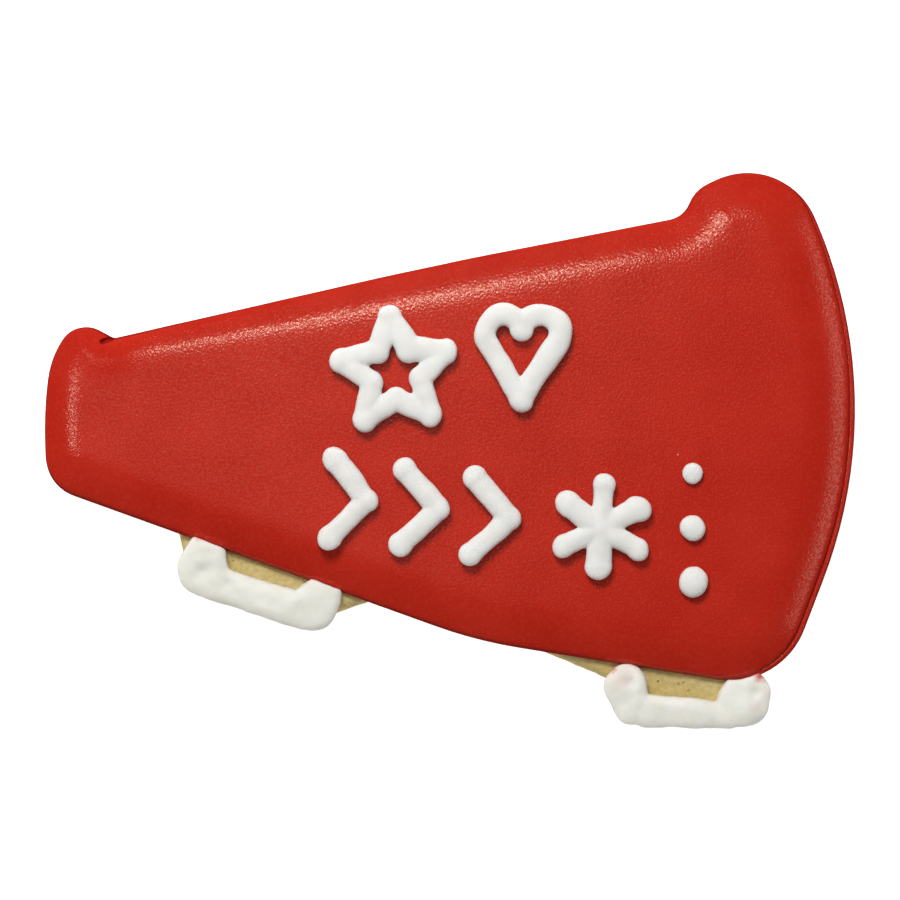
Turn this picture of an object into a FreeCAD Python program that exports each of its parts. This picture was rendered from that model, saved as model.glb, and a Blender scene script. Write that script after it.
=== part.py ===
import FreeCAD, Part

# Iced sugar cookie cut in the shape of a cheer megaphone, lying on its back.
# The baked cookie carries a red outline bead, a red flood of icing inside it, white beads that
# draw the two handles on the cookie's tabs, and white piped shapes on top of the red.
# Millimetres. +Z is up, the cookie's flat back is at z = 0, +X points to the megaphone's bell.

import math
import os

import Sketcher
from FreeCAD import Vector

# Every cell of the sheet: alias, value, what it is.
DIMENSIONS = [
    ("cookie_thickness", 7.0, "baked cookie, back to top face"),
    ("cookie_inset", 0.6, "how far the icing overhangs the cookie's edge"),
    ("cookie_top_round", 1.2, "rounding of the cookie's top edge"),
    ("cookie_base_round", 0.5, "rounding of the cookie's lower edge"),
    ("tab_root_round", 1.5, "rounding where a handle tab meets the cone"),
    ("outline_width", 2.5, "red bead piped round the cone first"),
    ("outline_height", 1.3, "its height over the cookie"),
    ("outline_round", 1.0, "rounding of its top edges"),
    ("flood_inset", 0.35, "how far the flood stays inside the outline bead's outer edge"),
    ("flood_height", 3.0, "thickness of the flooded icing"),
    ("flood_round", 2.5, "rounding of the flood's rim"),
    ("handle_height", 2.4, "white handle beads over the cookie"),
    ("handle_round", 1.6, "rounding of the handle beads"),
    ("red_clearance_height", 5.0, "height of the block that trims the handle beads at the red"),
    ("bead_radius", 1.5, "white bead's round section"),
    ("bead_lift", 0.4, "height of the bead's centre over the red icing"),
    ("drop_radius", 1.68, "thicker drop where a bead starts or stops"),
    ("star_x", -7.6, "star's centre"),
    ("star_y", 10.7, "star's centre"),
    ("star_radius", 7.6, "centre to a point of the star"),
    ("star_half_point", 25.0, "half the angle of a point, degrees"),
    ("star_tilt", 94.0, "direction of its first point, degrees"),
    ("heart_x", 9.7, "heart's lower tip"),
    ("heart_y", 7.1, "heart's lower tip"),
    ("heart_side", 9.0, "straight side of the heart"),
    ("heart_lobe", 2.6, "radius of a lobe"),
    ("heart_lobe_turn", 200.0, "turn of a lobe, degrees"),
    ("heart_half_tip", 32.0, "half the angle of the tip, degrees"),
    ("heart_tilt", 88.0, "direction of the heart's axis, degrees"),
    ("chevron_x", -11.3, "first chevron's apex"),
    ("chevron_y", -7.0, "first chevron's apex"),
    ("chevron_pitch", 9.6, "from one chevron to the next, along X"),
    ("chevron_drop", 1.1, "from one chevron to the next, down in Y"),
    ("chevron_arm", 7.0, "length of an arm"),
    ("chevron_half_angle", 48.0, "half the angle between the arms, degrees"),
    ("chevron_tilt", -4.0, "direction that a chevron points in, degrees"),
    ("burst_x", 20.8, "burst's centre"),
    ("burst_y", -10.6, "burst's centre"),
    ("burst_stroke", 11.4, "length of the stroke across the burst, and of two rays"),
    ("burst_tilt", 86.0, "direction of that stroke, degrees"),
    ("dot_x", 33.4, "column of dots"),
    ("dot_y", -3.4, "top dot"),
    ("dot_pitch", 7.4, "from one dot to the next, down in Y"),
    ("dot_radius", 1.55, "round section of the smallest dot"),
    ("dot_growth", 0.33, "added to the radius from one dot to the next"),
    ("dot_sink", 0.3, "depth of a dot's centre under the red icing's top"),
]

# Corners of an outline, clockwise: name, x, y, radius of the corner.
CONE_CORNERS = [
    ("mouth_heel", -55.8, -5.0, 5.8),
    ("mouth_side", -56.2, 5.1, 54.0),
    ("mouth_brow", -55.2, 12.7, 13.0),
    ("mouth_lip", -51.6, 18.3, 3.8),
    ("lip_notch", -46.5, 15.5, 0.3),
    ("cone_top", -2.7, 25.5, 700.0),
    ("bell_neck", 32.4, 32.3, 3.6),
    ("bell_shoulder", 33.9, 36.0, 4.9),
    ("bell_crown", 46.3, 42.0, 10.2),
    ("bell_mouth", 61.4, 7.3, 66.0),
    ("bell_heel", 45.9, -33.2, 11.0),
    ("cone_belly", 25.7, -30.0, 40.0),
    ("cone_base", 3.6, -26.4, 64.0),
]
REAR_TAB_CORNERS = [
    ("rear_tab_left_root", -38.0, -9.0, 1.0),
    ("rear_tab_right_root", -7.6, -19.7, 1.0),
    ("rear_tab_toe", -20.4, -24.3, 2.2),
    ("rear_tab_heel", -36.1, -18.3, 2.4),
]
FRONT_TAB_CORNERS = [
    ("front_tab_left_root", 9.4, -26.4, 0.8),
    ("front_tab_inner_root", 40.0, -27.0, 1.5),
    ("front_tab_right_root", 43.4, -30.4, 1.5),
    ("front_tab_toe", 40.0, -37.2, 2.4),
    ("front_tab_heel", 26.4, -37.2, 2.2),
    ("front_tab_web", 22.4, -31.9, 3.0),
]

# Handle beads: name, then x, y and half width where the bead starts and where it ends.
HANDLE_BEADS = [
    ("rear_handle_left_leg", (-33.8, -14.9, 3.0), (-34.1, -16.5, 3.6)),
    ("rear_handle_right_leg", (-17.5, -20.2, 2.4), (-18.9, -21.7, 3.1)),
    ("rear_handle_grip", (-32.6, -18.2, 2.4), (-20.2, -22.4, 2.3)),
    ("front_handle_left_leg", (24.3, -32.8, 2.8), (25.1, -35.7, 2.3)),
    ("front_handle_right_leg", (41.4, -33.5, 2.7), (40.5, -34.7, 3.5)),
    ("front_handle_grip", (27.2, -36.1, 2.25), (38.5, -36.7, 1.65)),
]

STAR_POINTS = 5
CHEVRONS = 3
BURST_RAYS = (60, 120, 240, 300)  # directions from the stroke across, degrees
DOTS = 3
OUT = "parts"

Constraint = Sketcher.Constraint
ORIGIN = (-1, 1)  # a sketch's root point
X_AXIS, Y_AXIS = -1, -2  # a sketch's own axes
START, END, CENTRE = 1, 2, 3  # places on an edge of a sketch

doc = FreeCAD.newDocument("megaphone_cookie")
sheet = doc.addObject("Spreadsheet::Sheet", "Dims")
nodes = []


# ---- spreadsheet ---------------------------------------------------------------------------

def fill_sheet():
    rows = list(DIMENSIONS)
    for corner, x, y, radius in CONE_CORNERS + REAR_TAB_CORNERS + FRONT_TAB_CORNERS:
        rows.append((corner + "_x", x, "corner of an outline"))
        rows.append((corner + "_y", y, "corner of an outline"))
        rows.append((corner + "_round", radius, "radius of that corner"))
    for bead, start, end in HANDLE_BEADS:
        for place, (x, y, half_width) in (("start", start), ("end", end)):
            rows.append((f"{bead}_{place}_x", x, "centre of the bead's " + place))
            rows.append((f"{bead}_{place}_y", y, "centre of the bead's " + place))
            rows.append((f"{bead}_{place}_half_width", half_width, "half the bead's width there"))
    for row, (alias, value, note) in enumerate(rows, start=1):
        sheet.set(f"A{row}", note)
        sheet.set(f"B{row}", str(value))
        sheet.setAlias(f"B{row}", alias)
    doc.recompute()


def cell(alias):
    return float(sheet.get(alias))


# ---- sketches ------------------------------------------------------------------------------

def bind(sketch, constraint, name, expression):
    """Adds a constraint whose value follows the sheet."""
    index = sketch.addConstraint(constraint)
    sketch.renameConstraint(index, name)
    sketch.setExpression("Constraints." + name, expression)


def place_point(sketch, geometry, where, name, x_cell, y_cell):
    bind(sketch, Constraint("DistanceX", *ORIGIN, geometry, where, cell(x_cell)),
         name + "_x", "Dims." + x_cell)
    bind(sketch, Constraint("DistanceY", *ORIGIN, geometry, where, cell(y_cell)),
         name + "_y", "Dims." + y_cell)


def corner_arc(before, corner, after, radius):
    """The rounding of a corner: its arc, the two tangent points, and where the path enters it."""
    back = (before - corner).normalize()
    ahead = (after - corner).normalize()
    half = back.getAngle(ahead) / 2
    reach = radius / math.tan(half)
    enter, leave = corner + back * reach, corner + ahead * reach
    centre = corner + (back + ahead).normalize() * (radius / math.sin(half))
    circle = Part.Circle(centre, Vector(0, 0, 1), radius)
    clockwise = back.cross(ahead).z > 0
    first, last = (leave, enter) if clockwise else (enter, leave)
    arc = Part.ArcOfCircle(circle, circle.parameter(first), circle.parameter(last))
    return arc, enter, leave, END if clockwise else START


def rounded_outline(name, corners):
    """A closed sketch through named corners, each rounded, with every size bound to the sheet."""
    sketch = doc.addObject("Sketcher::SketchObject", name)
    names = [corner[0] for corner in corners]
    points = [Vector(cell(n + "_x"), cell(n + "_y"), 0) for n in names]
    count = len(names)
    rounds = [corner_arc(points[i - 1], points[i], points[(i + 1) % count],
                         cell(names[i] + "_round")) for i in range(count)]
    arcs = [sketch.addGeometry(r[0]) for r in rounds]
    lines = [sketch.addGeometry(Part.LineSegment(rounds[i][2], rounds[(i + 1) % count][1]))
             for i in range(count)]
    marks = [sketch.addGeometry(Part.Point(p), True) for p in points]
    for i in range(count):
        enter = rounds[i][3]
        leave = START if enter == END else END
        sketch.addConstraint(Constraint("Tangent", lines[i - 1], END, arcs[i], enter))
        sketch.addConstraint(Constraint("Tangent", arcs[i], leave, lines[i], START))
        sketch.addConstraint(Constraint("PointOnObject", marks[i], START, lines[i - 1]))
        sketch.addConstraint(Constraint("PointOnObject", marks[i], START, lines[i]))
        place_point(sketch, marks[i], START, names[i], names[i] + "_x", names[i] + "_y")
        bind(sketch, Constraint("Radius", arcs[i], cell(names[i] + "_round")),
             names[i] + "_round", f"Dims.{names[i]}_round")
    return sketch


def origin_feature(body, role):
    return next(f for f in body.Origin.OriginFeatures if f.Role == role)


def body_sketch(body, name, role):
    sketch = body.newObject("Sketcher::SketchObject", name)
    sketch.AttachmentSupport = [(origin_feature(body, role), "")]
    sketch.MapMode = "FlatFace"
    return sketch


def tapered_slot(body, bead):
    """Two round ends of different width, joined by their common tangents."""
    sketch = body_sketch(body, bead + "_plan", "XY_Plane")
    ends = [Vector(cell(f"{bead}_{place}_x"), cell(f"{bead}_{place}_y"), 0)
            for place in ("start", "end")]
    radii = [cell(f"{bead}_{place}_half_width") for place in ("start", "end")]
    along = ends[1] - ends[0]
    heading = math.atan2(along.y, along.x)
    spread = math.acos((radii[0] - radii[1]) / along.Length)
    circles = [Part.Circle(c, Vector(0, 0, 1), r) for c, r in zip(ends, radii)]
    left, right = heading + spread, heading - spread
    first = sketch.addGeometry(Part.ArcOfCircle(circles[0], left, right + 2 * math.pi))
    last = sketch.addGeometry(Part.ArcOfCircle(circles[1], right, left))
    low = sketch.addGeometry(Part.LineSegment(circles[0].value(right), circles[1].value(right)))
    high = sketch.addGeometry(Part.LineSegment(circles[1].value(left), circles[0].value(left)))
    sketch.addConstraint(Constraint("Tangent", first, END, low, START))
    sketch.addConstraint(Constraint("Tangent", low, END, last, START))
    sketch.addConstraint(Constraint("Tangent", last, END, high, START))
    sketch.addConstraint(Constraint("Tangent", high, END, first, START))
    for arc, place, radius in ((first, "start", radii[0]), (last, "end", radii[1])):
        place_point(sketch, arc, CENTRE, place, f"{bead}_{place}_x", f"{bead}_{place}_y")
        bind(sketch, Constraint("Radius", arc, radius), place + "_radius",
             f"Dims.{bead}_{place}_half_width")
    return sketch


def bead_section(body, name):
    """A piped bead's section across its path: a circle cut flat where it sits on the icing."""
    sketch = body_sketch(body, name + "_section", "YZ_Plane")
    radius, lift = cell("bead_radius"), cell("bead_lift")
    below = math.asin(lift / radius)
    foot = radius * math.cos(below)
    circle = Part.Circle(Vector(0, lift, 0), Vector(0, 0, 1), radius)
    arc = sketch.addGeometry(Part.ArcOfCircle(circle, -below, math.pi + below))
    sole = sketch.addGeometry(Part.LineSegment(Vector(-foot, 0, 0), Vector(foot, 0, 0)))
    sketch.addConstraint(Constraint("Coincident", arc, END, sole, START))
    sketch.addConstraint(Constraint("Coincident", arc, START, sole, END))
    sketch.addConstraint(Constraint("PointOnObject", arc, CENTRE, Y_AXIS))
    sketch.addConstraint(Constraint("PointOnObject", sole, START, X_AXIS))
    sketch.addConstraint(Constraint("PointOnObject", sole, END, X_AXIS))
    bind(sketch, Constraint("DistanceY", *ORIGIN, arc, CENTRE, lift), "lift", "Dims.bead_lift")
    bind(sketch, Constraint("Radius", arc, radius), "radius", "Dims.bead_radius")
    return sketch


def heart_path(body, name, side):
    """Half a heart from its tip: a straight side along +X, then the lobe, turning to side."""
    sketch = body_sketch(body, name + "_path", "XY_Plane")
    length, radius = cell("heart_side"), cell("heart_lobe")
    turn = math.radians(cell("heart_lobe_turn"))
    line = sketch.addGeometry(Part.LineSegment(Vector(0, 0, 0), Vector(length, 0, 0)))
    circle = Part.Circle(Vector(length, side * radius, 0), Vector(0, 0, 1), radius)
    quarter = math.pi / 2
    if side > 0:
        arc = sketch.addGeometry(Part.ArcOfCircle(circle, -quarter, turn - quarter))
    else:
        arc = sketch.addGeometry(Part.ArcOfCircle(circle, quarter - turn, quarter))
    sketch.addConstraint(Constraint("Coincident", line, START, *ORIGIN))
    sketch.addConstraint(Constraint("Horizontal", line))
    sketch.addConstraint(Constraint("Tangent", line, END, arc, START if side > 0 else END))
    bind(sketch, Constraint("DistanceX", line, START, line, END, length), "side",
         "Dims.heart_side")
    bind(sketch, Constraint("Radius", arc, radius), "lobe", "Dims.heart_lobe")
    bind(sketch, Constraint("Angle", arc, turn), "turn", "Dims.heart_lobe_turn * 1 deg")
    return sketch


# ---- solids --------------------------------------------------------------------------------

def inset(name, source, alias):
    """The source outline moved inwards by a cell of the sheet."""
    offset = doc.addObject("Part::Offset2D", name)
    offset.Source = source
    offset.Mode = "Pipe"
    offset.Join = "Arc"
    offset.setExpression("Value", "-Dims." + alias)
    return offset


def slab(name, outline, height_alias):
    extrusion = doc.addObject("Part::Extrusion", name)
    extrusion.Base = outline
    extrusion.DirMode = "Custom"
    extrusion.Dir = Vector(0, 0, 1)
    extrusion.Solid = True
    extrusion.setExpression("LengthFwd", "Dims." + height_alias)
    return extrusion


def fuse(name, *shapes):
    joined = doc.addObject("Part::MultiFuse", name)
    joined.Shapes = list(shapes)
    return joined


def cut(name, base, *tools):
    """The base less each tool in turn, so that neighbours meet face to face."""
    for number, tool in enumerate(tools, start=1):
        part = doc.addObject("Part::Cut", name if number == len(tools) else f"{name}_{number}")
        part.Base = base
        part.Tool = tool
        base = part
    return base


def body_from(name, shape):
    body = doc.addObject("PartDesign::Body", name)
    body.BaseFeature = shape
    doc.recompute()
    return body


def round_edges(body, name, picks, expression):
    """Fillets the edges of the body's tip that the picks test accepts."""
    tip = body.Tip
    names = [f"Edge{i}" for i, e in enumerate(tip.Shape.Edges, start=1) if picks(e, tip.Shape)]
    fillet = body.newObject("PartDesign::Fillet", name)
    fillet.Base = (tip, names)
    fillet.setExpression("Radius", expression)
    body.Tip = fillet
    doc.recompute()


def at_height(height):
    return lambda edge, shape: all(abs(v.Z - height) < 1e-4 for v in edge.Vertexes)


def upright_corner(edge, shape):
    """An upright edge where two walls meet at an angle, not where they run on smoothly."""
    if edge.BoundBox.XLength > 1e-4 or edge.BoundBox.YLength > 1e-4:
        return False
    walls = [f for f in shape.Faces if any(e.isSame(edge) for e in f.Edges)]
    middle = edge.valueAt((edge.FirstParameter + edge.LastParameter) / 2)
    normals = [w.normalAt(*w.Surface.parameter(middle)) for w in walls]
    return len(normals) == 2 and normals[0].getAngle(normals[1]) > math.radians(8)


def stand_at(shape, height_expression):
    shape.setExpression("Placement.Base.z", height_expression)


def lay(shape, x, y, heading):
    """Puts a bead's own start at x, y on the red icing and turns it to its heading in degrees."""
    height = "Dims.cookie_thickness + Dims.flood_height"
    shape.setExpression("Placement", f"placement(vector({x}; {y}; {height}); "
                                     f"rotation(vector(0; 0; 1); {heading}))")


def add_drop(body, name, x="0", y="0"):
    """The thicker drop where a bead starts or stops: a ball cut flat at the icing."""
    drop = body.newObject("PartDesign::AdditiveSphere", name)
    drop.AttachmentSupport = [(origin_feature(body, "XY_Plane"), "")]
    drop.MapMode = "FlatFace"
    drop.setExpression("Radius", "Dims.drop_radius")
    drop.setExpression("Angle1", "-asin(Dims.bead_lift / Dims.drop_radius)")
    drop.setExpression("AttachmentOffset.Base.x", x)
    drop.setExpression("AttachmentOffset.Base.y", y)
    drop.setExpression("AttachmentOffset.Base.z", "Dims.bead_lift")
    body.Tip = drop


def straight_bead(name, length):
    """A straight piped stroke from its own origin along +X."""
    body = doc.addObject("PartDesign::Body", name)
    line = body.newObject("PartDesign::Pad", name + "_line")
    line.Profile = bead_section(body, name)
    line.setExpression("Length", length)
    body.Tip = line
    add_drop(body, name + "_first_drop")
    add_drop(body, name + "_last_drop", x=length)
    return body


def keep(node, shape):
    """Names a finished sub-part; the name is also its file's name."""
    shape.Label = node
    nodes.append(shape)
    return shape


# ---- the cookie and the red icing ----------------------------------------------------------

def make_cookie(outline):
    cone = slab("cookie_cone", inset("cookie_edge", outline, "cookie_inset"), "cookie_thickness")
    rear = slab("cookie_rear_tab", rounded_outline("rear_tab_outline", REAR_TAB_CORNERS),
                "cookie_thickness")
    front = slab("cookie_front_tab", rounded_outline("front_tab_outline", FRONT_TAB_CORNERS),
                 "cookie_thickness")
    body = body_from("cookie", fuse("cookie_blank", cone, rear, front))
    round_edges(body, "tab_roots", upright_corner, "Dims.tab_root_round")
    round_edges(body, "top_edge", at_height(cell("cookie_thickness")), "Dims.cookie_top_round")
    round_edges(body, "lower_edge", at_height(0), "Dims.cookie_base_round")
    keep("cookie_base", body)


def make_red_icing(outline):
    """The outline bead first, then the flood that fills it and laps over the bead's inner side."""
    ring = cut("outline_ring", slab("outline_block", outline, "outline_height"),
               slab("outline_hollow", inset("outline_inner_edge", outline, "outline_width"),
                    "outline_height"))
    bead = body_from("outline_bead", ring)
    round_edges(bead, "outline_crest", at_height(cell("outline_height")), "Dims.outline_round")
    stand_at(bead, "Dims.cookie_thickness")
    keep("red_outline_icing", bead)

    pool = body_from("flood", slab("flood_block", inset("flood_edge", outline, "flood_inset"),
                                   "flood_height"))
    round_edges(pool, "flood_rim", at_height(cell("flood_height")), "Dims.flood_round")
    stand_at(pool, "Dims.cookie_thickness")
    keep("red_flood_icing", cut("flood_over_bead", pool, bead))


# ---- the white handles ---------------------------------------------------------------------

def handle_bead(name):
    body = doc.addObject("PartDesign::Body", name + "_bead")
    pad = body.newObject("PartDesign::Pad", name + "_pad")
    pad.Profile = tapered_slot(body, name)
    pad.setExpression("Length", "Dims.handle_height")
    body.Tip = pad
    doc.recompute()
    round_edges(body, name + "_crest", at_height(cell("handle_height")), "Dims.handle_round")
    stand_at(body, "Dims.cookie_thickness")
    return body


def make_handles(outline):
    """Each handle is two legs that end at the red icing, and a grip between the legs."""
    red_block = slab("red_clearance", outline, "red_clearance_height")
    stand_at(red_block, "Dims.cookie_thickness")
    for handle in ("rear_handle", "front_handle"):
        legs = [handle_bead(f"{handle}_{side}_leg") for side in ("left", "right")]
        grip = handle_bead(f"{handle}_grip")
        for side, leg in zip(("left", "right"), legs):
            keep(f"{handle}_{side}_leg", cut(f"{handle}_{side}_leg_trimmed", leg, red_block))
        keep(f"{handle}_grip", cut(f"{handle}_grip_trimmed", grip, *legs))


# ---- the white shapes piped on the red -----------------------------------------------------

def make_star():
    """Five strokes, one for each point, and each one ends against the next."""
    edge = "Dims.star_radius * sin(36) / sin(36 + Dims.star_half_point)"
    strokes = []
    for point in range(STAR_POINTS):
        heading = f"(Dims.star_tilt + {360 // STAR_POINTS * point})"
        x = f"Dims.star_x + Dims.star_radius * cos({heading})"
        y = f"Dims.star_y + Dims.star_radius * sin({heading})"
        sides = [straight_bead(f"star_{point + 1}_{label}", edge) for label in ("left", "right")]
        lay(sides[0], x, y, f"{heading} + 180 - Dims.star_half_point")
        lay(sides[1], x, y, f"{heading} + 180 + Dims.star_half_point")
        strokes.append(fuse(f"star_{point + 1}", *sides))
    for point, stroke in enumerate(strokes):
        following = strokes[(point + 1) % STAR_POINTS]
        keep(f"star_stroke_{point + 1}", cut(f"star_{point + 1}_trimmed", stroke, following))


def make_heart():
    """Two strokes from the tip, each round one lobe to the cleft; the second joins the first."""
    halves = []
    for label, side in (("left", -1), ("right", 1)):
        body = doc.addObject("PartDesign::Body", "heart_" + label)
        path = heart_path(body, "heart_" + label, side)
        stroke = body.newObject("PartDesign::AdditivePipe", f"heart_{label}_line")
        stroke.Profile = bead_section(body, "heart_" + label)
        stroke.Spine = (path, ["Edge1", "Edge2"])
        body.Tip = stroke
        lay(body, "Dims.heart_x", "Dims.heart_y", f"Dims.heart_tilt - {side} * Dims.heart_half_tip")
        halves.append(body)
    left, right = halves
    add_drop(left, "heart_tip_drop")
    add_drop(left, "heart_cleft_drop",
             x="Dims.heart_side + Dims.heart_lobe * sin(Dims.heart_lobe_turn)",
             y="-Dims.heart_lobe * (1 - cos(Dims.heart_lobe_turn))")
    keep("heart_stroke_left", left)
    keep("heart_stroke_right", cut("heart_right_trimmed", right, left))


def make_chevrons():
    """A row of chevrons that point to the bell, each of two strokes from its apex."""
    for number in range(CHEVRONS):
        x = f"Dims.chevron_x + {number} * Dims.chevron_pitch"
        y = f"Dims.chevron_y - {number} * Dims.chevron_drop"
        name = f"chevron_{number + 1}"
        upper = straight_bead(name + "_up", "Dims.chevron_arm")
        lower = straight_bead(name + "_down", "Dims.chevron_arm")
        lay(upper, x, y, "Dims.chevron_tilt + 180 - Dims.chevron_half_angle")
        lay(lower, x, y, "Dims.chevron_tilt + 180 + Dims.chevron_half_angle")
        keep(name + "_upper_stroke", upper)
        keep(name + "_lower_stroke", cut(name + "_down_trimmed", lower, upper))


def make_burst():
    """One stroke across, then four rays from its middle, each against those piped before it."""
    across = straight_bead("burst_across", "Dims.burst_stroke")
    lay(across, "Dims.burst_x - Dims.burst_stroke / 2 * cos(Dims.burst_tilt)",
        "Dims.burst_y - Dims.burst_stroke / 2 * sin(Dims.burst_tilt)", "Dims.burst_tilt")
    keep("burst_stroke", across)
    piped = [across]
    for number, direction in enumerate(BURST_RAYS, start=1):
        ray = straight_bead(f"burst_{number}", "Dims.burst_stroke / 2")
        lay(ray, "Dims.burst_x", "Dims.burst_y", f"Dims.burst_tilt + {direction}")
        keep(f"burst_ray_{number}", cut(f"burst_{number}_trimmed", ray, *piped))
        piped.append(ray)


def make_dots():
    for number in range(DOTS):
        radius = f"(Dims.dot_radius + {number} * Dims.dot_growth)"
        body = doc.addObject("PartDesign::Body", f"dot_{number + 1}_body")
        ball = body.newObject("PartDesign::AdditiveSphere", f"dot_{number + 1}_ball")
        ball.AttachmentSupport = [(origin_feature(body, "XY_Plane"), "")]
        ball.MapMode = "FlatFace"
        ball.setExpression("Radius", radius)
        ball.setExpression("Angle1", f"asin(Dims.dot_sink / {radius})")
        ball.setExpression("AttachmentOffset.Base.z", "-Dims.dot_sink")
        body.Tip = ball
        lay(body, "Dims.dot_x", f"Dims.dot_y - {number} * Dims.dot_pitch", "0")
        keep(f"dot_{number + 1}", body)


# ---- check and export ----------------------------------------------------------------------

def check_document():
    for thing in doc.Objects:
        if "Invalid" in thing.State or "Error" in thing.State:
            raise RuntimeError(f"{thing.Name} failed: {thing.State}")
        if thing.TypeId == "Sketcher::SketchObject" and not thing.FullyConstrained:
            raise RuntimeError(f"sketch {thing.Name} isn't fully constrained")
    for node in nodes:
        if node.Shape.isNull() or not node.Shape.isValid() or not node.Shape.Solids:
            raise RuntimeError(f"{node.Label} has no valid solid")


def export():
    os.makedirs(OUT, exist_ok=True)
    for node in nodes:
        node.Shape.exportStep(os.path.join(OUT, node.Label + ".step"))
        print(f"{node.Label:26s} {len(node.Shape.Solids)} solid(s) {node.Shape.Volume:10.2f} mm3")


def main():
    fill_sheet()
    outline = rounded_outline("megaphone_outline", CONE_CORNERS)
    make_cookie(outline)
    make_red_icing(outline)
    make_handles(outline)
    make_star()
    make_heart()
    make_chevrons()
    make_burst()
    make_dots()
    doc.recompute()
    check_document()
    export()


main()
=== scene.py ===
# An iced megaphone cookie, lying on its back. Lengths in the mesh code are in millimetres in the
# row's frame, +Z up, and meshes are scaled to metres when they are stored.

import math

import bmesh
import bpy
import numpy as np
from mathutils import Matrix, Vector, noise
from mathutils.geometry import delaunay_2d_cdt


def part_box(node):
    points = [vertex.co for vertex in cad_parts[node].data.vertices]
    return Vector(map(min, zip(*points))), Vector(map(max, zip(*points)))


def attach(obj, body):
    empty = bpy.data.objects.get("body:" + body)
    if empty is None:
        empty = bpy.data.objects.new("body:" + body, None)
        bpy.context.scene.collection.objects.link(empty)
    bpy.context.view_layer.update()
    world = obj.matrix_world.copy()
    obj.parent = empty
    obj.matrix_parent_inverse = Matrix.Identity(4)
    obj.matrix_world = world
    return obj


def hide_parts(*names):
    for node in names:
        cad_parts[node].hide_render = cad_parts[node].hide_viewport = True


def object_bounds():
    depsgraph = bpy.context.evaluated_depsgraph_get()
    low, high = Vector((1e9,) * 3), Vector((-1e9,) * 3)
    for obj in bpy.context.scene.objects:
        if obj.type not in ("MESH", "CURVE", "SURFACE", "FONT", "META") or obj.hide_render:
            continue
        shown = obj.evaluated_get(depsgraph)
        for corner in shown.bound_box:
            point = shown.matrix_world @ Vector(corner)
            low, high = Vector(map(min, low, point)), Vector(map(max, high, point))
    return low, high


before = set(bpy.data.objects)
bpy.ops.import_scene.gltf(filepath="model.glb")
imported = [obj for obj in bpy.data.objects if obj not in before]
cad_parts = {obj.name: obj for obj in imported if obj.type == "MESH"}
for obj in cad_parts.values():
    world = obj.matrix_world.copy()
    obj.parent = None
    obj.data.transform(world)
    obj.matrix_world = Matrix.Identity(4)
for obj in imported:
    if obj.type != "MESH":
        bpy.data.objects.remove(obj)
cad_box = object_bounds()

MM = 0.001

# Mesh sizes in millimetres
RIM_STEP = 0.32  # spacing of points along the icing's rim
TOP_STEP = 0.8  # spacing of points on the flat of the icing
FOLD_STEP = 0.16  # spacing of points round the fold in the icing
RING_GAPS = [0.1, 0.15, 0.2, 0.25] + [0.4] * 15  # between rings of points, from the rim inwards
COOKIE_VOXEL = 0.42
PIPING_VOXEL = 0.16
HANDLE_VOXEL = 0.18
CONTACT = 0.12  # what is this near the floor after smoothing is laid on it

# Directions in plan
TO_BELL = np.array([1.0, -0.3])
TO_UPPER_SIDE = np.array([-0.5, 0.87])

# Section of the outline bead: how far in, and how much of its height
BEAD_SECTION = [(0.25, 0.0), (0.06, 0.2), (0.0, 0.42), (0.05, 0.6), (0.16, 0.76), (0.32, 0.9),
                (0.5, 0.98), (0.65, 0.95), (0.8, 0.84), (0.95, 0.7), (1.2, 0.62), (2.0, 0.5),
                (2.4, 0.0)]
BEAD_SHARE = 0.78  # of the CAD bead's height, so that the flood lies over it

# The flood of red icing
SHOULDER = 6.2  # how far in from its edge it goes on rising
UPPER_SHOULDER = ((-56, -50, -46, -41, -35, -21, 0, 30, 40),
                  (5.2, 4.0, 2.0, 2.4, 3.1, 4.5, 6.1, 6.1, 7.6))  # the same by X, on the upper side
SHOULDER_DROP = 1.75
FOLD_START = (-0.15, -0.1)  # from the notch
FOLD_RUN = (-1.25, -0.55)
FOLD_WIDTH = 0.25
FOLD_DEPTH = 0.9
DULL_SPOT = (-47.0, 14.5)  # the icing beside the notch has dried dull

# White icing
SUNK = 0.15  # of piped strokes into the red icing
REAR_DENTS = [(-34.2, -16.8, 1.0, 0.45), (-30.5, -18.4, 0.7, 0.2)]  # x, y, size, depth
FRONT_DENTS = [(24.9, -32.0, 0.8, 0.4), (42.2, -33.4, 0.9, 0.3)]
REAR_STAINS = [(-34.5, -11.6, 1.4, 0.7)]  # x, y, size, strength
FRONT_STAINS = [(22.0, -29.9, 1.5, 1.0), (23.6, -31.4, 2.6, 0.16), (42.9, -30.9, 1.6, 1.0),
                (40.6, -30.6, 1.2, 0.4), (42.3, -35.4, 1.6, 0.14)]

# Stage
FLOOR_REACH = 6000  # far enough for its edges to stay out of low views
CAMERA_DISTANCE = 0.4678  # metres over the cookie's upper face


# ---- reading the CAD -----------------------------------------------------------------------

def height_of(node):
    """(bottom, top) of a CAD node in millimetres."""
    low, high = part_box(node)
    return low[2] / MM, high[2] / MM


def cad_copy(*nodes):
    """The named CAD nodes together as one bmesh in millimetres, split edges joined."""
    bm = bmesh.new()
    for node in nodes:
        bm.from_mesh(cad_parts[node].data)
    bmesh.ops.scale(bm, vec=(1 / MM,) * 3, verts=bm.verts)
    bmesh.ops.remove_doubles(bm, verts=bm.verts, dist=0.002)
    return bm


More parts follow.
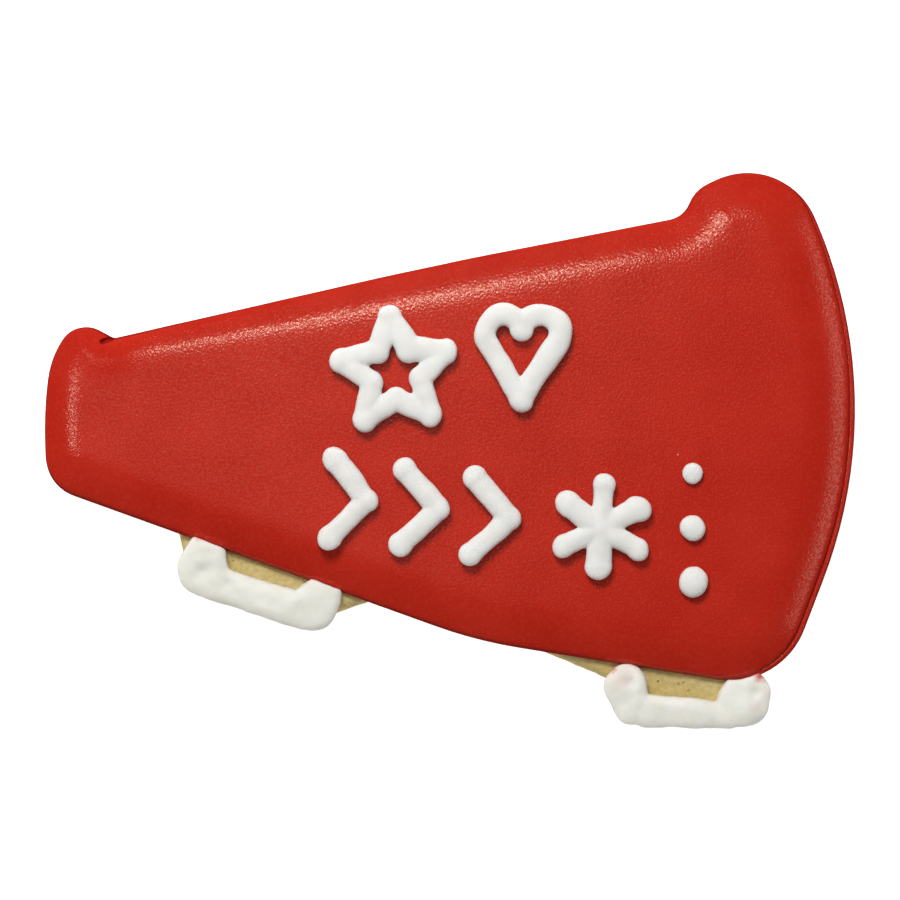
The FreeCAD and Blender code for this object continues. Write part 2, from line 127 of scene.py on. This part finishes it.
def foot_outline(node):
    """The outer loop of a node's flat underside, anticlockwise from its leftmost point, as an array
    of XY points."""
    bm = cad_copy(node)
    foot = {f for f in bm.faces if f.normal.z < -0.99}
    rim = {e for f in foot for e in f.edges if sum(g in foot for g in e.link_faces) == 1}
    loops = []
    while rim:
        edge = rim.pop()
        loop = [edge.verts[0], edge.verts[1]]
        while True:
            edge = next((e for e in loop[-1].link_edges if e in rim), None)
            if edge is None:
                break
            rim.remove(edge)
            loop.append(edge.other_vert(loop[-1]))
        loops.append(np.array([v.co[:2] for v in loop[:-1]]))
    bm.free()
    outer = max(loops, key=lambda loop: np.ptp(loop[:, 0]))
    outer = outer if signed_area(outer) > 0 else outer[::-1]
    start = np.lexsort(np.round(outer, 3).T[::-1])[0]
    return np.roll(outer, -start, axis=0)


# ---- plane curves --------------------------------------------------------------------------

def signed_area(loop):
    after = np.roll(loop, -1, axis=0)
    return 0.5 * np.sum(loop[:, 0] * after[:, 1] - after[:, 0] * loop[:, 1])


def resample(loop, step):
    """Points at an even spacing along a closed loop."""
    closed = np.vstack([loop, loop[:1]])
    along = np.concatenate([[0], np.cumsum(np.linalg.norm(np.diff(closed, axis=0), axis=1))])
    places = np.linspace(0, along[-1], int(along[-1] / step), endpoint=False)
    return np.column_stack([np.interp(places, along, closed[:, i]) for i in (0, 1)])


def soften(loop, times):
    for _ in range(times):
        loop = (np.roll(loop, 1, axis=0) + 2 * loop + np.roll(loop, -1, axis=0)) / 4
    return loop


def inward(loop):
    """Unit normals of an anticlockwise loop, pointing in."""
    along = np.roll(loop, -1, axis=0) - np.roll(loop, 1, axis=0)
    along /= np.linalg.norm(along, axis=1)[:, None]
    return np.column_stack([-along[:, 1], along[:, 0]])


def nearest(loop, points):
    """For each point, the nearest segment of a closed loop and the distance to it."""
    spans = np.roll(loop, -1, axis=0) - loop
    lengths = np.sum(spans * spans, axis=1)
    segments, distances = np.empty(len(points), dtype=int), np.empty(len(points))
    for first in range(0, len(points), 500):
        gaps = points[first:first + 500, None] - loop[None]
        share = np.clip(np.sum(gaps * spans[None], axis=2) / lengths, 0, 1)
        away = gaps - share[:, :, None] * spans[None]
        squares = np.sum(away * away, axis=2)
        segments[first:first + 500] = np.argmin(squares, axis=1)
        distances[first:first + 500] = np.sqrt(np.min(squares, axis=1))
    return segments, distances


def away_from(row, points):
    """Distance from each point to the nearest of a row of points."""
    return np.sqrt(np.min(np.sum((points[:, None] - row[None]) ** 2, axis=2), axis=1))


def inside(loop, points):
    """True for each point inside a closed loop, by counting crossings to its right."""
    x, y = points[:, 0], points[:, 1]
    odd = np.zeros(len(points), dtype=bool)
    for (ax, ay), (bx, by) in zip(loop, np.roll(loop, -1, axis=0)):
        if ay != by:
            odd ^= ((ay > y) != (by > y)) & (x < (bx - ax) * (y - ay) / (by - ay) + ax)
    return odd


def smoothed(points, ends, times, share):
    """Points moved towards the mean of their neighbours; ends lists each link as two indices, and
    share says how far each point goes in one pass."""
    here, there = np.concatenate([ends, ends[:, ::-1]]).T
    degree = np.bincount(here, minlength=len(points))[:, None]
    for _ in range(times):
        around = np.column_stack([np.bincount(here, points[there, i], len(points))
                                  for i in range(3)])
        points = points + share * (around / degree - points)
    return points


def ripple(points, size, seed):
    """Smooth noise from about -1 to 1 whose bumps are size across."""
    return np.array([noise.noise(Vector((*p, 0)) / size + Vector((seed, 0, 0))) for p in points])


# ---- meshes --------------------------------------------------------------------------------

def store(bm, name, material, smooth=True):
    """Turns a bmesh in millimetres into a linked object in metres."""
    bmesh.ops.scale(bm, vec=(MM,) * 3, verts=bm.verts)
    bmesh.ops.recalc_face_normals(bm, faces=bm.faces)
    mesh = bpy.data.meshes.new(name)
    bm.to_mesh(mesh)
    bm.free()
    mesh.polygons.foreach_set("use_smooth", [smooth] * len(mesh.polygons))
    mesh.materials.append(material)
    thing = bpy.data.objects.new(name, mesh)
    bpy.context.scene.collection.objects.link(thing)
    return thing


def join_rings(bm, outer, inner):
    for i in range(len(outer)):
        bm.faces.new((outer[i - 1], outer[i], inner[i], inner[i - 1]))


def ring_bead(outline, section):
    """A closed bead that follows an outline; its section is a list of (inset, height)."""
    bm = bmesh.new()
    normals = inward(outline)
    rings = [[bm.verts.new((*p, height)) for p in outline + normals * inset]
             for inset, height in section]
    for outer, inner in zip(rings, rings[1:] + rings[:1]):
        join_rings(bm, outer, inner)
    return bm


def inner_ring(edge, normals, inset):
    """Points at a distance inside an edge, fanned out evenly around its concave corners, and
    without those that another part of the edge is nearer to."""
    ring = edge + normals * inset
    gaps = np.linalg.norm(np.roll(ring, -1, axis=0) - ring, axis=1)
    fans = [ring]
    for i in np.flatnonzero(gaps > 1.6 * RIM_STEP):
        after = (i + 1) % len(edge)
        for share in np.arange(1, int(gaps[i] / RIM_STEP)) / int(gaps[i] / RIM_STEP):
            normal = (1 - share) * normals[i] + share * normals[after]
            corner = (1 - share) * edge[i] + share * edge[after]
            fans.append([corner + normal / np.linalg.norm(normal) * inset])
    ring = np.vstack(fans)
    return ring[(nearest(edge, ring)[1] > 0.96 * inset) & inside(edge, ring)]


def staggered(low, high, step):
    """Points between two corners, at the corners of even triangles."""
    rows = []
    for row, y in enumerate(np.arange(low[1], high[1], step * 0.866)):
        xs = np.arange(low[0] + (row % 2) * step / 2, high[0], step)
        rows.append(np.column_stack([xs, np.full(len(xs), y)]))
    return np.vstack(rows)


def domed_sheet(edge, top_height, fold, skirt):
    """A sheet with a fine rim and a coarser middle. top_height gives the heights of an array of
    points from their XY and the segment and distance of the nearest edge; fold is a row of points
    along which the smoothed surface is creased; skirt is the (inset, heights) of the rings below
    the edge, down to the flat underside."""
    normals = inward(edge)
    insets = np.cumsum(RING_GAPS)
    points = np.vstack([inner_ring(edge, normals, inset) for inset in insets])
    grid = staggered(edge.min(axis=0), edge.max(axis=0), TOP_STEP)
    grid = grid[inside(edge, grid)]
    points = np.vstack([points, grid[nearest(edge, grid)[1] > insets[-1] + RING_GAPS[-1]]])
    patch = staggered(fold.min(axis=0) - 1, fold.max(axis=0) + 1, FOLD_STEP)
    patch = patch[(away_from(fold, patch) < 0.7) & inside(edge, patch)]
    patch = patch[nearest(edge, patch)[1] > 0.1]
    points = np.vstack([edge, points[away_from(fold, points) > 0.75], patch])
    count = len(edge)
    border = [(i, (i + 1) % count) for i in range(count)]
    flat, _, faces, origins, _, _ = delaunay_2d_cdt([Vector(p) for p in points], border, [], 1, 1e-5)
    flat = np.array([tuple(p) for p in flat])
    segments, distances = nearest(edge, flat)
    surface = np.column_stack([flat, top_height(flat, segments, distances)])
    ends = np.array([(face[i - 1], face[i]) for face in faces for i in range(len(face))])
    share = 0.5 * np.clip((distances - 0.5) / 1.5, 0, 1)[:, None]
    surface = smoothed(surface, ends, 40, share)
    surface[:, 2] -= FOLD_DEPTH * np.exp(-(away_from(fold, surface[:, :2]) / FOLD_WIDTH) ** 2)
    bm = bmesh.new()
    verts = [bm.verts.new(point) for point in surface]
    for face in faces:
        bm.faces.new([verts[i] for i in face])
    above = [None] * count
    for index, sources in enumerate(origins):
        for source in sources:
            if source < count:
                above[source] = verts[index]
    for inset, heights in skirt:
        ring = [bm.verts.new((*p, z)) for p, z in zip(edge + normals * inset, heights)]
        join_rings(bm, above, ring)
        above = ring
    bm.faces.new(above)
    return bm


def remeshed(bm, voxel):
    """The union of a bmesh's closed shells as an even mesh of small quads."""
    mesh = bpy.data.meshes.new("remesh_input")
    bm.to_mesh(mesh)
    bm.free()
    thing = bpy.data.objects.new("remesh_input", mesh)
    bpy.context.scene.collection.objects.link(thing)
    remesh = thing.modifiers.new("voxels", "REMESH")
    remesh.mode = "VOXEL"
    remesh.voxel_size = voxel
    depsgraph = bpy.context.evaluated_depsgraph_get()
    evaluated = thing.evaluated_get(depsgraph)
    even = bmesh.new()
    even.from_mesh(evaluated.to_mesh())
    evaluated.to_mesh_clear()
    bpy.data.objects.remove(thing)
    bpy.data.meshes.remove(mesh)
    return even


def relax(bm, times, floor, swell):
    """Smooths a mesh so that its joins run together, then swells it back to its size. What sat on
    the surface at height floor stays on it."""
    bm.verts.index_update()
    points = np.array([v.co for v in bm.verts])
    ends = np.array([[v.index for v in e.verts] for e in bm.edges])
    for v, point in zip(bm.verts, smoothed(points, ends, times, 0.5)):
        v.co = point
    bm.normal_update()
    for v in bm.verts:
        v.co += v.normal * swell
        if v.co.z < floor + CONTACT:
            v.co.z = floor


def level(bm, floor, power):
    """Flattens the tops of domed shapes, the way wet icing settles, and steepens their sides."""
    full = max(v.co.z for v in bm.verts) - floor
    for v in bm.verts:
        v.co.z = floor + full * (max(v.co.z - floor, 0) / full) ** power


def lumps(bm, octaves, seed, floor):
    """Moves vertices along their normals by noise; octaves is a list of (size, amount)."""
    bm.normal_update()
    moves = []
    for v in bm.verts:
        amount = sum(depth * noise.noise(v.co / size + Vector((seed, 0, 0)))
                     for size, depth in octaves)
        moves.append(v.normal * amount)
    for v, move in zip(bm.verts, moves):
        if v.co.z > floor + 1e-3:
            v.co += move
            v.co.z = max(v.co.z, floor)


def wander(bm, size, amount, seed):
    """Bends a piped shape a little in plan, as a hand does."""
    for v in bm.verts:
        spot = Vector((v.co.x, v.co.y, 0)) / size
        v.co.x += amount * noise.noise(spot + Vector((seed, 0, 0)))
        v.co.y += amount * noise.noise(spot + Vector((0, seed, 7)))


def dent(bm, x, y, size, depth):
    """A soft hollow in the top of a piece, such as a nozzle leaves."""
    for v in bm.verts:
        near = math.exp(-((v.co.x - x) ** 2 + (v.co.y - y) ** 2) / size ** 2)
        v.co.z -= depth * near * max(v.normal.z, 0)


def lap_over(bm, outline, reach, lap):
    """Draws what lies within reach outside an outline over it, so that no gap shows there."""
    segments, away = nearest(outline, np.array([v.co[:2] for v in bm.verts]))
    normals = inward(outline)
    for v, segment, gap in zip(bm.verts, segments, away):
        if gap < reach:
            shift = normals[segment] * lap * (1 - gap / reach)
            v.co.x += shift[0]
            v.co.y += shift[1]


# ---- materials -----------------------------------------------------------------------------

def srgb(red, green, blue):
    """An 8-bit display colour as the linear colour that a shader takes."""
    return tuple(((c / 255 + 0.055) / 1.055) ** 2.4 for c in (red, green, blue)) + (1.0,)


class Shader:
    """A material and short ways to add nodes to it."""

    def __init__(self, name):
        self.material = bpy.data.materials.new(name)
        self.material.use_nodes = True
        self.tree = self.material.node_tree
        self.surface = self.tree.nodes["Principled BSDF"]
        self.where = self.tree.nodes.new("ShaderNodeTexCoord").outputs
        self.place = self.vector("SCALE", self.where["Object"], scale=1 / MM)  # millimetres

    def put(self, node, inputs):
        for key, value in inputs.items():
            if isinstance(value, bpy.types.NodeSocket):
                self.tree.links.new(value, node.inputs[key])
            else:
                node.inputs[key].default_value = value
        return node

    def vector(self, operation, *values, scale=1.0):
        node = self.tree.nodes.new("ShaderNodeVectorMath")
        node.operation = operation
        self.put(node, dict(enumerate(values)))
        if operation == "SCALE":
            node.inputs["Scale"].default_value = scale
        return node.outputs["Value" if operation == "DISTANCE" else "Vector"]

    def math(self, operation, *values):
        node = self.tree.nodes.new("ShaderNodeMath")
        node.operation = operation
        return self.put(node, dict(enumerate(values))).outputs[0]

    def noise(self, size, detail=2.0, roughness=0.5):
        """Noise from 0 to 1 with features of that size in millimetres."""
        node = self.tree.nodes.new("ShaderNodeTexNoise")
        return self.put(node, {"Vector": self.place, "Scale": 1 / size, "Detail": detail,
                               "Roughness": roughness}).outputs[0]

    def cells(self, size):
        """(distance to the nearest of scattered points in cell units, that point's colour)."""
        node = self.tree.nodes.new("ShaderNodeTexVoronoi")
        self.put(node, {"Vector": self.place, "Scale": 1 / size})
        return node.outputs["Distance"], node.outputs["Color"]

    def span(self, value, low, high, to_low=0.0, to_high=1.0):
        """Maps a value from low..high to to_low..to_high, smoothly and clamped."""
        node = self.tree.nodes.new("ShaderNodeMapRange")
        node.interpolation_type = "SMOOTHSTEP"
        return self.put(node, {"Value": value, "From Min": low, "From Max": high,
                               "To Min": to_low, "To Max": to_high}).outputs[0]

    def mix(self, share, first, second):
        node = self.tree.nodes.new("ShaderNodeMix")
        node.data_type = "RGBA"
        self.put(node, {0: share, 6: first, 7: second})
        return node.outputs[2]

    def upward(self, vector):
        """The Z of a vector."""
        node = self.tree.nodes.new("ShaderNodeSeparateXYZ")
        return self.put(node, {0: vector}).outputs["Z"]

    def height(self):
        """Height over the floor in millimetres."""
        return self.upward(self.place)

    def from_above(self, x, y):
        """Distance in millimetres from a point of the plan."""
        flat = self.vector("MULTIPLY", self.place, (1.0, 1.0, 0.0))
        return self.vector("DISTANCE", flat, (x, y, 0.0))

    def flatness(self):
        """1 where the surface lies level, 0 where it stands upright."""
        return self.upward(self.where["Normal"])

    def bump(self, *reliefs):
        """Adds up (height from 0 to 1, depth in millimetres) reliefs into the surface's normal."""
        normal = None
        for relief, depth in reliefs:
            node = self.tree.nodes.new("ShaderNodeBump")
            self.put(node, {"Height": relief, "Strength": 1.0, "Distance": depth * MM})
            if normal is not None:
                self.tree.links.new(normal, node.inputs["Normal"])
            normal = node.outputs["Normal"]
        self.put(self.surface, {"Normal": normal})


def red_icing():
    s = Shader("red_icing")
    mottle = s.noise(9.0, 3.0)
    flecks = s.noise(0.45, 3.0, 0.65)
    colour = s.mix(s.span(mottle, 0.3, 0.7), srgb(184, 34, 21), srgb(191, 40, 26))
    colour = s.mix(s.span(flecks, 0.45, 0.75, 0.0, 0.2), colour, srgb(210, 80, 56))
    specks, chance = s.cells(4.5)
    rare = s.math("MULTIPLY", s.span(specks, 0.02, 0.04, 1.0, 0.0),
                  s.span(chance, 0.72, 0.78))
    colour = s.mix(rare, colour, srgb(232, 140, 120))
    # Painted shade: where the icing stands steep, its colour is darkened towards deep red, standing
    # in for the shade on its sides.
    colour = s.mix(s.span(s.flatness(), 0.5, 0.86, 0.65, 0.0), colour, srgb(118, 14, 15))
    grain = s.span(s.noise(0.3, 0.0), 0.38, 0.66, 0.18, 0.54)
    shine = s.span(s.from_above(*DULL_SPOT), 2.5, 6.5, 0.15, 1.0)
    s.put(s.surface, {"Base Color": colour, "Roughness": 0.19,
                      "Specular IOR Level": s.math("MULTIPLY", grain, shine),
                      "Specular Tint": (1.0, 0.82, 0.64, 1.0)})
    s.bump((s.noise(0.33, 0.0), 0.021))
    return s.material


def white_icing(name, pale, cream, stains=()):
    """Dried white icing. Each stain is (x, y, size, strength) of red that has bled into it."""
    s = Shader(name)
    colour = s.mix(s.span(s.noise(3.0, 3.0), 0.3, 0.7), cream, pale)
    ragged = s.math("MULTIPLY", s.noise(0.8, 2.0), 1.2)
    high = s.span(s.height(), 7.4, 9.2)
    for x, y, size, strength in stains:
        away = s.math("ADD", s.from_above(x, y), ragged)
        bled = s.math("MULTIPLY", s.span(away, 0.6, 0.6 + size, strength, 0.0), high)
        colour = s.mix(bled, colour, srgb(204, 42, 32))
    s.put(s.surface, {"Base Color": colour, "Roughness": s.span(s.noise(0.9), 0.3, 0.7, 0.36, 0.48),
                      "Specular IOR Level": 0.3, "Subsurface Weight": 0.6,
                      "Subsurface Radius": (1.0, 0.85, 0.7), "Subsurface Scale": 0.001})
    s.bump((s.noise(1.6, 1.0), 0.03), (s.noise(0.25, 2.0, 0.6), 0.008))
    return s.material


def baked_cookie():
    s = Shader("baked_cookie")
    crumb = s.noise(0.7, 4.0, 0.65)
    toast = s.noise(6.0, 3.0)
    colour = s.mix(s.span(toast, 0.3, 0.7), srgb(206, 184, 118), srgb(214, 196, 138))
    colour = s.mix(s.span(crumb, 0.38, 0.62, 0.5, 0.0), colour, srgb(186, 158, 96))
    colour = s.mix(s.span(s.height(), 0.2, 2.2, 0.85, 0.0), colour, srgb(184, 132, 74))
    pores, chance = s.cells(1.1)
    pore = s.math("MULTIPLY", s.span(pores, 0.08, 0.26, 1.0, 0.0), s.span(chance, 0.45, 0.6))
    colour = s.mix(s.math("MULTIPLY", pore, 0.45), colour, srgb(150, 112, 60))
    s.put(s.surface, {"Base Color": colour, "Roughness": s.span(crumb, 0.3, 0.7, 0.72, 0.9),
                      "Specular IOR Level": 0.3})
    s.bump((crumb, 0.22), (s.math("SUBTRACT", 1.0, pore), 0.15), (s.noise(0.2, 2.0), 0.03))
    return s.material


def pale_floor():
    s = Shader("pale_floor")
    s.put(s.surface, {"Base Color": (0.8, 0.8, 0.8, 1.0), "Roughness": 0.9,
                      "Emission Color": (1.0, 1.0, 1.0, 1.0), "Emission Strength": 0.86})
    return s.material


# ---- pieces --------------------------------------------------------------------------------

def declare(piece, slot, *nodes):
    """Says which CAD nodes a piece replaces, and hides them. All ride on the one body. slot, what
    the piece is made of, is not used.
    """
    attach(piece, "root")
    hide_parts(*nodes)


def make_cookie(material):
    bm = remeshed(cad_copy("cookie_base"), COOKIE_VOXEL)
    relax(bm, 3, 0.0, 0.05)
    lumps(bm, [(3.5, 0.16), (1.3, 0.12)], 3.0, 0.0)
    declare(store(bm, "baked_cookie", material), "baked_cookie", "cookie_base")


def icing_outline():
    """The red icing's outer outline, evenly spaced and with the corners of its facets softened."""
    return resample(soften(resample(foot_outline("red_outline_icing"), RIM_STEP), 1), RIM_STEP)


def make_bead(outline, material):
    """The bead of red icing along the cone's outline."""
    base, crest = height_of("red_outline_icing")
    rise = BEAD_SHARE * (crest - base)
    bm = ring_bead(outline, [(inset, base + share * rise) for inset, share in BEAD_SECTION])
    declare(store(bm, "red_outline_bead", material), "red_icing", "red_outline_icing")


def notch_of(outline):
    """The sharpest inward corner of an outline."""
    normals = inward(outline)
    turn = np.cross(np.roll(normals, 3, axis=0), np.roll(normals, -3, axis=0))
    return outline[np.argmin(turn)]


def flood_edge(outline):
    """The flood's edge, which leaves some of the bead bare: most of all by the bell, then along
    the lower side, and with a little wander."""
    normals = inward(outline)
    bare = 0.06 + 0.7 * np.clip(-normals @ TO_BELL, 0, 1) ** 2
    bare += 0.2 * np.clip(normals[:, 1], 0, 1) + 0.05 * ripple(outline, 9.0, 5.0)
    return resample(outline + normals * bare[:, None], RIM_STEP)


def flood_height(edge, top):
    """The function that gives domed_sheet the flood's heights. From its edge the flood rises
    steeply over half a millimetre, then more and more gently over its shoulder, and beyond that it
    is flat but for a slight swell."""
    facing = -soften(inward(edge), 12)
    upward = np.clip(facing @ TO_UPPER_SIDE, 0, 1)
    right = np.clip(facing @ TO_BELL, 0, 1) ** 2

    def height(points, segments, distances):
        x, up = points[:, 0], upward[segments]
        shoulder = np.interp(x, *UPPER_SHOULDER) * up + SHOULDER * (1 - up)
        short = 1 - np.clip(distances / shoulder, 0, 1)
        drop = SHOULDER_DROP - up * np.interp(x, (25, 38), (0.65, 0.15))
        rim = 0.15 + 0.12 * right[segments]
        calm = np.clip(distances / 9, 0, 1) ** 2
        swell = 0.05 * ripple(points, 17.0, 2.0) + 0.015 * ripple(points, 6.0, 8.0)
        return (top - 0.03 - drop * short ** 2 - rim * np.clip(1 - distances / 0.5, 0, 1) ** 2
                + calm * (swell - 0.03))

    return height


def make_flood(outline, material):
    """The flood of red icing, with the small fold that the notch has drawn into it."""
    base = height_of("red_outline_icing")[0]
    top = height_of("red_flood_icing")[1]
    edge = flood_edge(outline)
    height = flood_height(edge, top)
    lip = height(edge, np.arange(len(edge)), np.zeros(len(edge)))
    skirt = [(0.03, lip - 0.12), (0.1, lip - 0.35), (0.8, np.full(len(edge), base))]
    fold = notch_of(outline) + FOLD_START + np.linspace(0, 1, 9)[:, None] * FOLD_RUN
    bm = domed_sheet(edge, height, fold, skirt)
    declare(store(bm, "red_flood", material), "red_icing", "red_flood_icing")


def make_piping(name, nodes, material, seed):
    """Piped strokes that have run together where they meet, sunk a little into the red."""
    floor = height_of(nodes[0])[0]
    bm = remeshed(cad_copy(*nodes), PIPING_VOXEL)
    level(bm, floor, 0.42)
    relax(bm, 10, floor, 0.07)
    lumps(bm, [(4.0, 0.2), (1.6, 0.06)], seed, floor)
    wander(bm, 7.0, 0.5, seed)
    for v in bm.verts:
        if v.co.z < floor + 1e-3:
            v.co.z = floor - SUNK
    declare(store(bm, name, material), "white_icing", *nodes)


def make_handle(name, outline, material, dents, seed):
    """A handle's three beads, run together and lapped against the red icing."""
    nodes = [f"{name}_{part}" for part in ("left_leg", "grip", "right_leg")]
    floor = height_of(nodes[0])[0]
    bm = remeshed(cad_copy(*nodes), HANDLE_VOXEL)
    level(bm, floor, 0.45)
    relax(bm, 14, floor, 0.12)
    lumps(bm, [(5.0, 0.35), (2.0, 0.11), (0.9, 0.04)], seed, floor)
    for x, y, size, depth in dents:
        dent(bm, x, y, size, depth)
    lap_over(bm, outline, 1.0, 0.3)
    declare(store(bm, name + "_icing", material), "white_icing", *nodes)


def make_white_icing(outline):
    # Painted light and shade: the handles are one white icing in two copies. The rear is painted
    # darker and the front lighter, to make up for the main lamp lighting them unevenly.
    rear = white_icing("rear_handle_white", srgb(240, 240, 231), srgb(234, 233, 222), REAR_STAINS)
    front = white_icing("front_handle_white", srgb(245, 245, 236), srgb(239, 238, 227), FRONT_STAINS)
    make_handle("rear_handle", outline, rear, REAR_DENTS, 11.0)
    make_handle("front_handle", outline, front, FRONT_DENTS, 23.0)
    piped = white_icing("piped_white", srgb(238, 238, 234), srgb(234, 233, 228))
    groups = {}
    for node in sorted(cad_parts):
        stem = node.split("_stroke")[0].split("_ray")[0]
        stem = stem.removesuffix("_upper").removesuffix("_lower")
        if stem.split("_")[0] in ("star", "heart", "chevron", "burst", "dot"):
            groups.setdefault(stem, []).append(node)
    for number, (stem, nodes) in enumerate(groups.items()):
        make_piping(stem + "_piping", nodes, piped, 31.0 + 5 * number)


# ---- stage ---------------------------------------------------------------------------------

def make_floor():
    bm = bmesh.new()
    bmesh.ops.create_grid(bm, x_segments=1, y_segments=1, size=FLOOR_REACH)
    floor = store(bm, "floor", pale_floor(), smooth=False)
    floor.visible_glossy = False


def aim(thing, target):
    thing.rotation_euler = (Vector(target) - thing.location).to_track_quat("-Z", "Y").to_euler()


def make_light(name, direction, tilt, size, power, distance, shading=True, shine=True):
    """A lamp that looks at the cookie's middle from a distance in metres, tilt degrees off the
    vertical, in the direction that many degrees round from +X. Its size is in metres and its power
    in watts. shading and shine say which of the two it gives."""
    data = bpy.data.lights.new(name, "AREA")
    data.shape = "RECTANGLE"
    data.size, data.size_y = size
    data.energy = power
    lamp = bpy.data.objects.new(name, data)
    bpy.context.scene.collection.objects.link(lamp)
    lean, turn = math.radians(tilt), math.radians(direction)
    lamp.location = (distance * math.sin(lean) * math.cos(turn),
                     distance * math.sin(lean) * math.sin(turn), distance * math.cos(lean))
    aim(lamp, (0, 0, 0))
    lamp.visible_camera = False
    lamp.visible_diffuse = shading
    lamp.visible_glossy = shine


def light_stage():
    world = bpy.data.worlds.new("studio")
    bpy.context.scene.world = world
    world.use_nodes = True
    background = world.node_tree.nodes["Background"]
    background.inputs["Color"].default_value = (1.0, 1.0, 1.0, 1.0)
    background.inputs["Strength"].default_value = 0.31
    world.cycles_visibility.glossy = False
    # name, direction, tilt, size, power, distance
    make_light("main", 106, 38, (0.18, 0.14), 1.88, 0.5, shine=False)
    make_light("stripe", 104, 16, (0.14, 0.025), 0.47, 0.55, shading=False)
    make_light("overhead", 150, 10, (0.3, 0.3), 0.17, 0.6, shading=False)
    make_light("left_fill", 176, 28, (0.02, 0.07), 0.14, 0.55)
    make_light("right_fill", 0, 52, (0.4, 0.1), 0.32, 0.55, shading=False)


def make_camera():
    """Looks straight down on the middle of the icing."""
    data = bpy.data.cameras.new("camera")
    data.lens = 135
    data.sensor_width = 36
    data.clip_start = 0.01
    camera = bpy.data.objects.new("camera", data)
    bpy.context.scene.collection.objects.link(camera)
    rim = height_of("red_outline_icing")[0] * MM
    low, high = cad_box
    camera.location = ((low[0] + high[0]) / 2, (low[1] + high[1]) / 2, rim + CAMERA_DISTANCE)
    bpy.context.scene.camera = camera


def main():
    make_camera()
    light_stage()
    make_floor()
    make_cookie(baked_cookie())
    outline = icing_outline()
    red = red_icing()
    make_bead(outline, red)
    make_flood(outline, red)
    make_white_icing(outline)
    bpy.context.scene.view_settings.view_transform = "Standard"


main()
